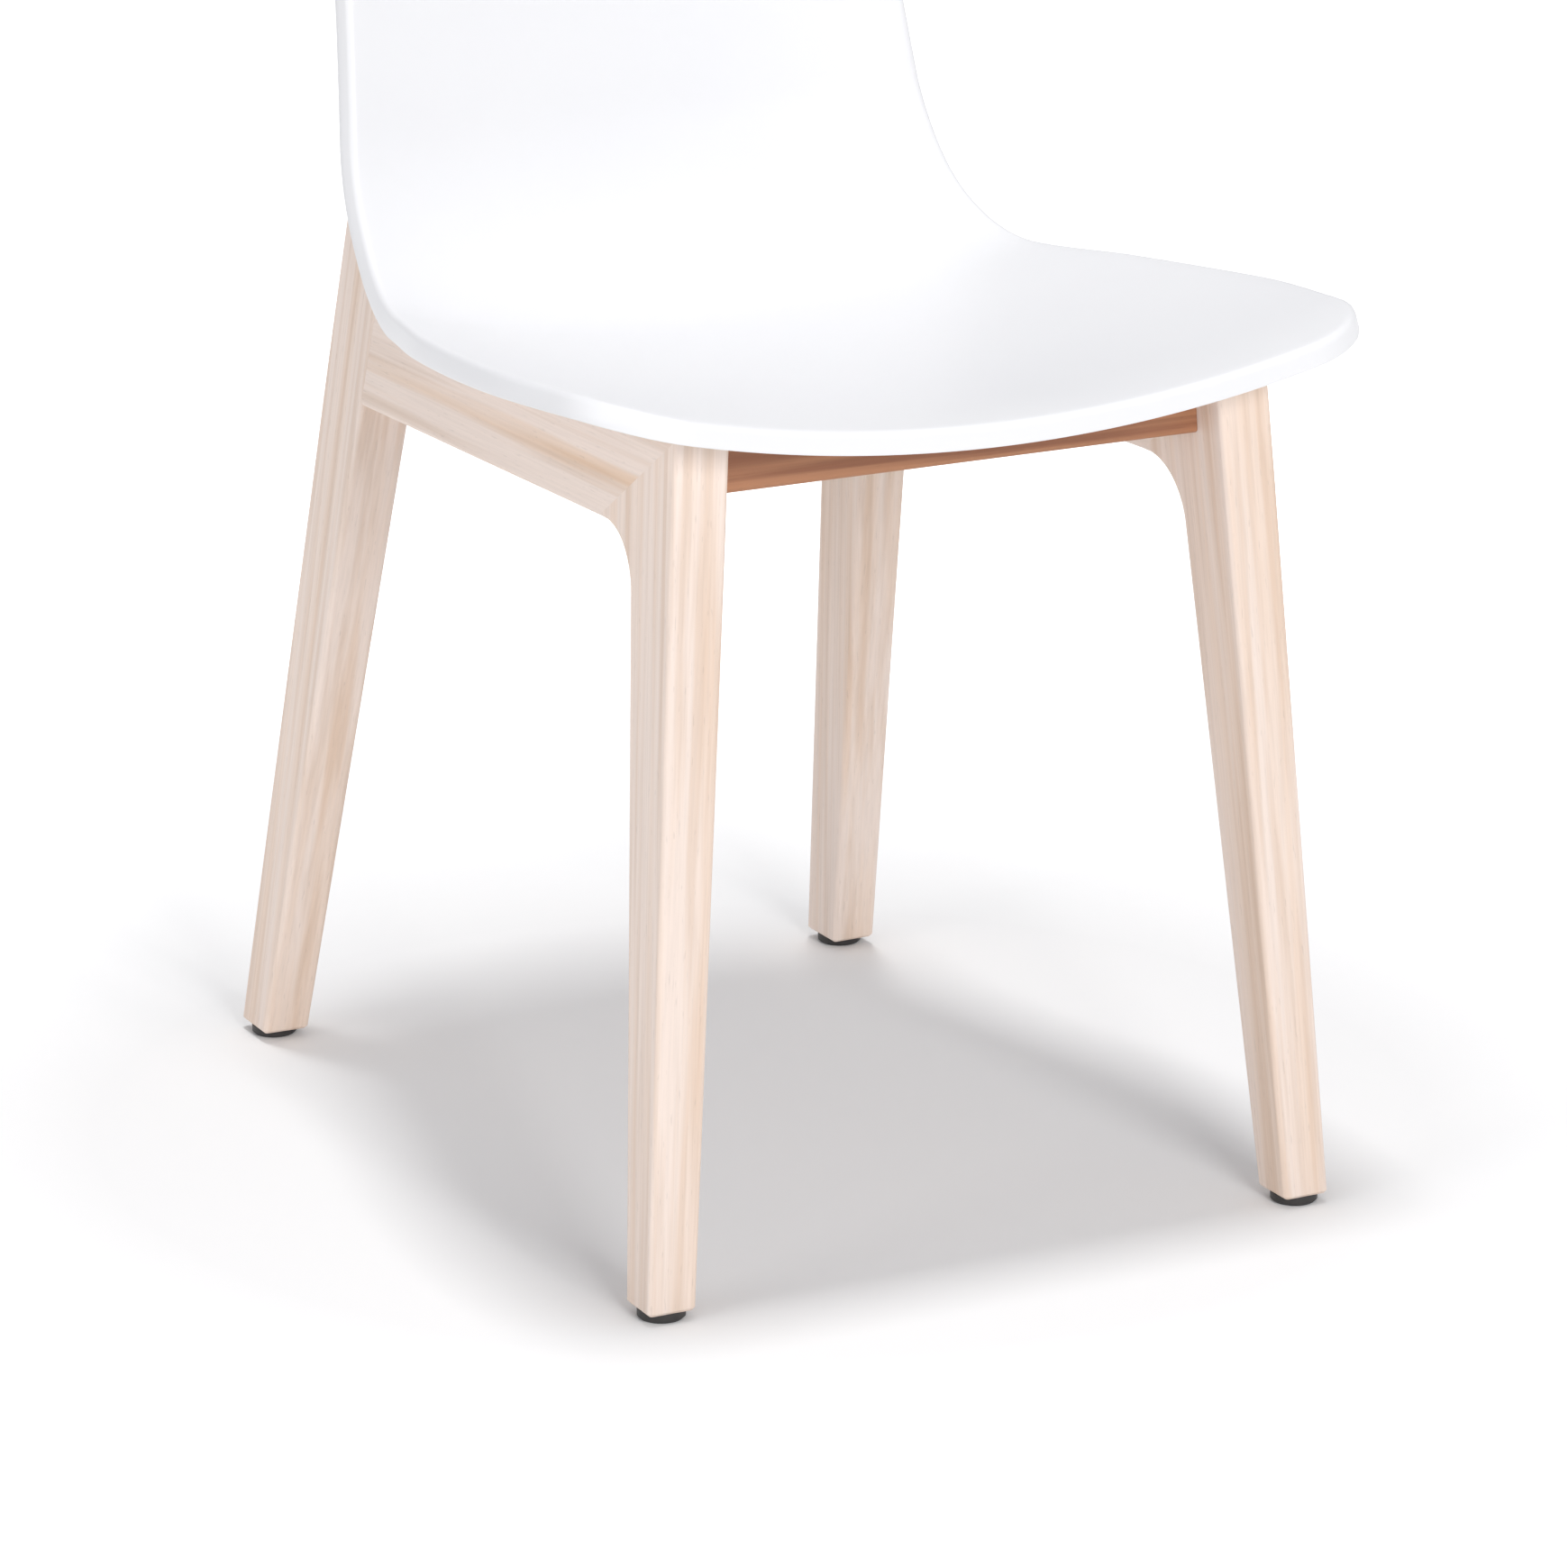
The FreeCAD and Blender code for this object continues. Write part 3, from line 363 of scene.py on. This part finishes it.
# Small parts: colour, metallic, roughness and scale of the mottle
STEEL = ((0.6, 0.61, 0.63), 1.0, 0.35, 300.0)
BRASS = ((0.72, 0.53, 0.25), 1.0, 0.3, 300.0)
DARK_PLASTIC = ((0.035, 0.033, 0.032), 0.0, 0.5, 500.0)
GLOSS_SPREAD = 0.08

# Plastic of the shell
WHITE_DARK = (0.83, 0.83, 0.85)
WHITE_LIGHT = (0.88, 0.88, 0.885)
WHITE_SPECULAR = 0.45
WHITE_GLOSS = (0.36, 0.46)
UNEVENNESS_SCALE = 5.0
TEXTURE_SCALE = 1400.0

BUMP_DISTANCE = 0.0002


def new_material(name):
    """A node material with its shader, and functions that add a node with values and link it."""
    material = bpy.data.materials.new(name)
    material.use_nodes = True
    tree = material.node_tree
    shader = tree.nodes["Principled BSDF"]

    def add(kind, **values):
        node = tree.nodes.new("ShaderNode" + kind)
        for key, value in values.items():
            if hasattr(node, key):
                setattr(node, key, value)
            else:
                node.inputs[key.replace("_", " ")].default_value = value
        return node

    return material, shader, add, tree.links.new


def raise_relief(add, link, height, shader, strength):
    """A fine relief from a number that varies over the surface."""
    bump = add("Bump", Strength=strength, Distance=BUMP_DISTANCE)
    link(height, bump.inputs["Height"])
    link(bump.outputs["Normal"], shader.inputs["Normal"])


def white_plastic():
    """Moulded plastic: a satin white with a fine spark-eroded texture and slow unevenness."""
    material, shader, add, link = new_material("white_moulded_plastic")
    place = add("TexCoord")
    shader.inputs["Specular IOR Level"].default_value = WHITE_SPECULAR
    slow = add("TexNoise", Scale=UNEVENNESS_SCALE, Detail=2.0)
    link(place.outputs["Object"], slow.inputs["Vector"])
    gloss = add("MapRange", To_Min=WHITE_GLOSS[0], To_Max=WHITE_GLOSS[1])
    link(slow.outputs["Fac"], gloss.inputs["Value"])
    link(gloss.outputs["Result"], shader.inputs["Roughness"])
    tint = add("ValToRGB")
    tint.color_ramp.elements[0].color = (*WHITE_DARK, 1)
    tint.color_ramp.elements[1].color = (*WHITE_LIGHT, 1)
    link(slow.outputs["Fac"], tint.inputs["Fac"])
    link(tint.outputs["Color"], shader.inputs["Base Color"])
    texture = add("TexNoise", Scale=TEXTURE_SCALE, Detail=3.0)
    link(place.outputs["Object"], texture.inputs["Vector"])
    raise_relief(add, link, texture.outputs["Fac"], shader, 0.08)
    return material


def lacquered_wood(name, grain, seed, light, dark, warmth_and_shade):
    """Straight-grained hardwood under matt lacquer: long streaks, fine fibres and small flecks.

    The grain runs in one direction. The last argument mixes in a few broad orange-brown streaks of
    wood figure; where it is large, as on the rails, part of this warm darkening is painted shade.
    """
    material, shader, add, link = new_material(name)
    place = add("TexCoord")

    def figure(scale, length, detail):
        mapping = add("Mapping", vector_type="TEXTURE")
        mapping.inputs["Location"].default_value = SEED_STEP * seed
        mapping.inputs["Rotation"].default_value = Vector(grain).to_track_quat("Z", "Y").to_euler()
        mapping.inputs["Scale"].default_value = (1, 1, length)
        link(place.outputs["Object"], mapping.inputs["Vector"])
        noise = add("TexNoise", Scale=scale, Detail=detail)
        link(mapping.outputs["Vector"], noise.inputs["Vector"])
        return noise.outputs["Fac"]

    def ranged(source, low, high, to_low, to_high):
        out = add("MapRange", From_Min=low, From_Max=high, To_Min=to_low, To_Max=to_high)
        link(source, out.inputs["Value"])
        return out.outputs["Result"]

    def times(first):
        mix = add("Mix", data_type="RGBA", blend_type="MULTIPLY")
        mix.inputs[0].default_value = 1.0
        link(first, mix.inputs[6])
        return mix

    streaks = figure(*STREAKS)
    fibres = figure(*FIBRES)
    ramp = add("ValToRGB")
    ramp.color_ramp.elements[0].position = 0.36
    ramp.color_ramp.elements[0].color = (*dark, 1)
    ramp.color_ramp.elements[1].position = 0.54
    ramp.color_ramp.elements[1].color = (*light, 1)
    link(streaks, ramp.inputs["Fac"])
    warmed = times(ramp.outputs["Color"])
    link(ranged(figure(*WARM_STREAKS), 0.46, 0.62, 0.0, warmth_and_shade), warmed.inputs[0])
    warmed.inputs[7].default_value = (*WARM_STREAK, 1)
    fibrous = times(warmed.outputs[2])
    link(ranged(fibres, 0.35, 0.6, 0.95, 1.0), fibrous.inputs[7])
    flecked = times(fibrous.outputs[2])
    link(ranged(figure(*FLECKS), 0.66, 0.76, 1.0, 0.9), flecked.inputs[7])
    link(flecked.outputs[2], shader.inputs["Base Color"])
    link(ranged(streaks, 0.3, 0.7, 0.6, 0.48), shader.inputs["Roughness"])
    raise_relief(add, link, fibres, shader, 0.15)
    return material


def plain_finish(name, colour, metallic, roughness, scale):
    """Small parts: a finish with a fine mottle in its gloss and relief."""
    material, shader, add, link = new_material(name)
    place = add("TexCoord")
    shader.inputs["Base Color"].default_value = (*colour, 1)
    shader.inputs["Metallic"].default_value = metallic
    mottle = add("TexNoise", Scale=scale, Detail=3.0)
    link(place.outputs["Object"], mottle.inputs["Vector"])
    gloss = add("MapRange", To_Min=roughness - GLOSS_SPREAD, To_Max=roughness + GLOSS_SPREAD)
    link(mottle.outputs["Fac"], gloss.inputs["Value"])
    link(gloss.outputs["Result"], shader.inputs["Roughness"])
    raise_relief(add, link, mottle.outputs["Fac"], shader, 0.1)
    return material


def dress(piece, material):
    """Give a whole piece one material."""
    piece.data.materials.clear()
    piece.data.materials.append(material)


def grain_of(name):
    """The direction of the grain of a wooden piece."""
    side = -1 if "left" in name else 1
    for word, direction in GRAIN.items():
        if word in name:
            return side * direction[0], direction[1], direction[2]


def dress_wood(node, name, seed):
    """Warm orange-brown wood on the two aprons, darkened with painted shade from under the shell; pale
    wood on the rest of the frame, where the rails' extra warm streaks are partly painted shade.
    """
    if name in ("front_apron", "rear_apron"):
        wood = lacquered_wood(f"warm_wood_painted_shade_{name}", grain_of(name), seed, WARM_WOOD_AND_SHADE, WARM_GRAIN_AND_SHADE, 0.0)
    else:
        warmth_and_shade = RAIL_WARMTH_AND_SHADE if "rail" in name else OTHER_WARMTH
        wood = lacquered_wood(f"pale_wood_{name}", grain_of(name), seed, PALE_WOOD, DARK_GRAIN, warmth_and_shade)
    dress(node, wood)


def dress_frame_nodes():
    """Materials of the pieces that stay as they are in the frame."""
    steel = plain_finish("zinc_plated_steel", *STEEL)
    brass = plain_finish("turned_brass", *BRASS)
    dark = plain_finish("dark_glide_plastic", *DARK_PLASTIC)
    for number, (name, node) in enumerate(sorted(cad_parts.items())):
        if name == "seat_shell":
            continue
        if "screw" in name or "nail" in name:
            dress(node, steel)
        elif "insert" in name:
            dress(node, brass)
        elif name.startswith("glide"):
            dress(node, dark)
        else:
            dress_wood(node, name, number + 1)


# Stage

FLOOR_HALF = 40.0
FLOOR_GREY = 0.92
FLOOR_ROUGHNESS = 0.9
FLOOR_SPECULAR = 0.1

# The floor's own light, seen by the camera and in reflections: from and to these distances
# from the chair's middle it rises between these strengths
GLOW_REACH = (0.35, 1.1)
GLOW_STRENGTH = (0.01, 0.7)

SKY_COLOUR = (0.96, 0.965, 1.0)
SKY_STRENGTH = 0.46

# Lamps: name, place, what it points at, size of its side, power
LAMPS = [
    ("overhead", (0, 0, 9.0), (0, 0, 0), 1.3, 300),
    ("front", (-0.3, -4.2, 2.1), (0, 0, 0.4), 1.5, 82),
    ("left", (-4.0, -0.6, 1.4), (0, 0, 0.4), 2.0, 26)]


def floor():
    """A wide pale floor that keeps the chair's shadow and turns white away from it."""
    bm = bmesh.new()
    bmesh.ops.create_grid(bm, x_segments=1, y_segments=1, size=FLOOR_HALF)
    mesh = bpy.data.meshes.new("floor")
    bm.to_mesh(mesh)
    bm.free()
    piece = bpy.data.objects.new("floor", mesh)
    bpy.context.scene.collection.objects.link(piece)
    material, shader, add, link = new_material("pale_floor")
    shader.inputs["Base Color"].default_value = (FLOOR_GREY, FLOOR_GREY, FLOOR_GREY, 1)
    shader.inputs["Roughness"].default_value = FLOOR_ROUGHNESS
    shader.inputs["Specular IOR Level"].default_value = FLOOR_SPECULAR
    shader.inputs["Emission Color"].default_value = (1, 1, 1, 1)
    place = add("TexCoord")
    reach = add("VectorMath", operation="LENGTH")
    link(place.outputs["Object"], reach.inputs[0])
    white = add("MapRange", From_Min=GLOW_REACH[0], From_Max=GLOW_REACH[1],
                To_Min=GLOW_STRENGTH[0], To_Max=GLOW_STRENGTH[1])
    link(reach.outputs["Value"], white.inputs["Value"])
    rays = add("LightPath")
    seen = add("Math", operation="MAXIMUM")
    link(rays.outputs["Is Camera Ray"], seen.inputs[0])
    link(rays.outputs["Is Glossy Ray"], seen.inputs[1])
    glow = add("Math", operation="MULTIPLY")
    link(seen.outputs[0], glow.inputs[0])
    link(white.outputs["Result"], glow.inputs[1])
    link(glow.outputs[0], shader.inputs["Emission Strength"])
    piece.data.materials.append(material)


def turned_to(piece, place, target):
    """Put a lamp or camera at a place and turn it to a target."""
    piece.location = place
    piece.rotation_euler = (Vector(target) - Vector(place)).to_track_quat("-Z", "Y").to_euler()
    bpy.context.scene.collection.objects.link(piece)


def lamp(name, place, target, size, power):
    """A large soft lamp that points at the chair."""
    light = bpy.data.lights.new(name, "AREA")
    light.shape = "SQUARE"
    light.size = size
    light.energy = power
    turned_to(bpy.data.objects.new(name, light), place, target)


def studio():
    """Soft daylight from all round, and three large lamps: overhead, front and left."""
    world = bpy.data.worlds.new("studio")
    world.use_nodes = True
    background = world.node_tree.nodes["Background"]
    background.inputs["Color"].default_value = (*SKY_COLOUR, 1)
    background.inputs["Strength"].default_value = SKY_STRENGTH
    bpy.context.scene.world = world
    for values in LAMPS:
        lamp(*values)


def camera():
    """The camera at the photograph's point of view."""
    data = bpy.data.cameras.new("camera")
    data.sensor_width = SENSOR
    data.lens = LENS
    piece = bpy.data.objects.new("camera", data)
    turned_to(piece, CAMERA_AT, CAMERA_LOOKS_AT)
    bpy.context.scene.camera = piece


shell = moulded_shell()
dress(shell, white_plastic())
dress_frame_nodes()
floor()
studio()
camera()
bpy.context.scene.view_settings.view_transform = "Standard"
